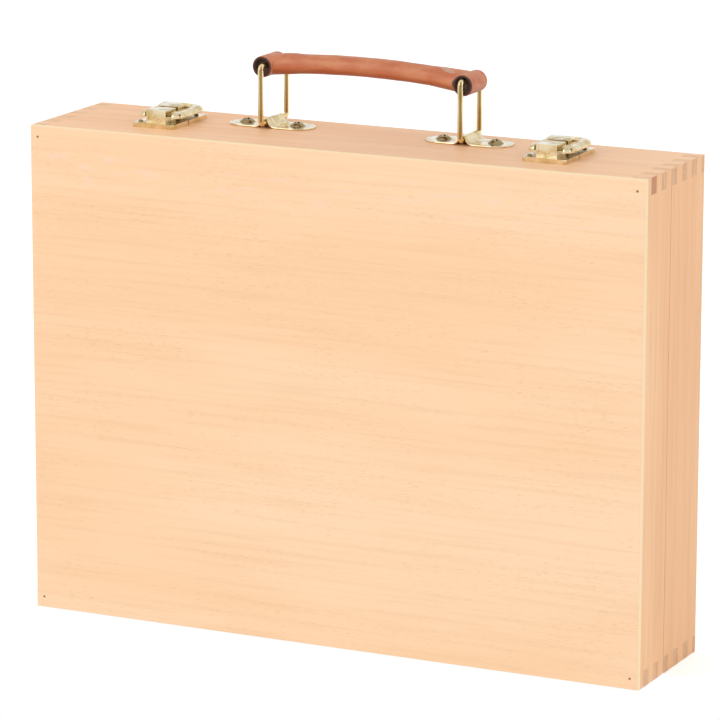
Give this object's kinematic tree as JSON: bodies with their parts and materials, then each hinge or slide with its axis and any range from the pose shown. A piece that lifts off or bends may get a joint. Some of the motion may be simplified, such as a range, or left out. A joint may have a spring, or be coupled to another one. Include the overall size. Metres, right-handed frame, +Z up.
{
  "type": "brush box",
  "caption": "Wooden brush box with finger-jointed corners, a hinged front lid, two toggle latches and a leather-wrapped carrying grip on wire loops.",
  "frame": {"origin": "middle of the footprint of the box, standing upright on its long edge", "axes": "+X across the front to the right, +Y from the lid to the back, +Z up towards the handle"},
  "size_m": [0.38, 0.085, 0.3297],
  "materials": {
    "panel_plywood": "clear varnished beech plywood",
    "level_boards": "clear varnished beech",
    "side_boards": "clear varnished beech",
    "slats": "bare beech",
    "brads": "dark steel",
    "pressed_brass": "bright pale brass",
    "screw_brass": "bright brass",
    "hinge_brass": "bright brass",
    "loop_wire": "drawn brass wire",
    "grip_leather": "smooth terracotta leather",
    "bush_leather": "dark raw leather",
    "core_cord": "twisted paper cord"
  },
  "bodies": {
    "base": {"base_top_board": "level_boards", "base_bottom_board": "level_boards", "base_left_board": "side_boards", "base_right_board": "side_boards", "back_panel": "panel_plywood", "upper_slat": "slats", "lower_slat": "slats", "left_cross_slat": "slats", "right_cross_slat": "slats", "left_hinge_base_leaf": "hinge_brass", "right_hinge_base_leaf": "hinge_brass", "left_hinge_pin": "screw_brass", "right_hinge_pin": "screw_brass", "base_hinge_screws": "screw_brass", "left_catch_plate": "pressed_brass", "right_catch_plate": "pressed_brass", "base_latch_screws": "screw_brass", "left_handle_plate": "pressed_brass", "right_handle_plate": "pressed_brass", "handle_screws": "screw_brass"},
    "lid": {"front_panel": "panel_plywood", "panel_brads": "brads", "lid_top_board": "level_boards", "lid_bottom_board": "level_boards", "lid_left_board": "side_boards", "lid_right_board": "side_boards", "left_hinge_lid_leaf": "hinge_brass", "right_hinge_lid_leaf": "hinge_brass", "lid_hinge_screws": "screw_brass", "left_latch_plate": "pressed_brass", "right_latch_plate": "pressed_brass", "left_latch_pin": "screw_brass", "right_latch_pin": "screw_brass", "lid_latch_screws": "screw_brass"},
    "left_latch": {"left_latch_lever": "pressed_brass"},
    "right_latch": {"right_latch_lever": "pressed_brass"},
    "left_loop": {"left_handle_loop": "loop_wire"},
    "right_loop": {"right_handle_loop": "loop_wire"},
    "grip": {"grip_cover": "grip_leather", "grip_core": "core_cord", "left_grip_bush": "bush_leather", "right_grip_bush": "bush_leather"}
  },
  "joints": [
    {"name": "lid_hinge", "type": "hinge", "parent": "base", "child": "lid", "pos_m": [0, -0.0058, 0.0016], "axis": [1, 0, 0], "range_deg": [0, 100]},
    {"name": "left_latch_pivot", "type": "hinge", "parent": "lid", "child": "left_latch", "pos_m": [-0.122, -0.0113, 0.2925], "axis": [1, 0, 0], "range_deg": [0, 110]},
    {"name": "right_latch_pivot", "type": "hinge", "parent": "lid", "child": "right_latch", "pos_m": [0.1205, -0.0113, 0.2925], "axis": [1, 0, 0], "range_deg": [0, 110]},
    {"name": "handle_swing", "type": "hinge", "parent": "base", "child": "left_loop", "pos_m": [-0.065, 0.0179, 0.289], "axis": [0, 1, 0], "range_deg": [-60, 60]},
    {"name": "right_loop_swing", "type": "hinge", "parent": "base", "child": "right_loop", "pos_m": [0.0586, 0.0179, 0.289], "axis": [0, 1, 0], "range_deg": [-60, 60]},
    {"name": "grip_turn", "type": "hinge", "parent": "left_loop", "child": "grip", "pos_m": [-0.065, 0.0179, 0.322], "axis": [0, 1, 0], "range_deg": [-60, 60]}
  ],
  "couplings": [
    {"joint": "right_loop_swing", "follows": "handle_swing", "ratio": 1},
    {"joint": "grip_turn", "follows": "handle_swing", "ratio": -1}
  ]
}
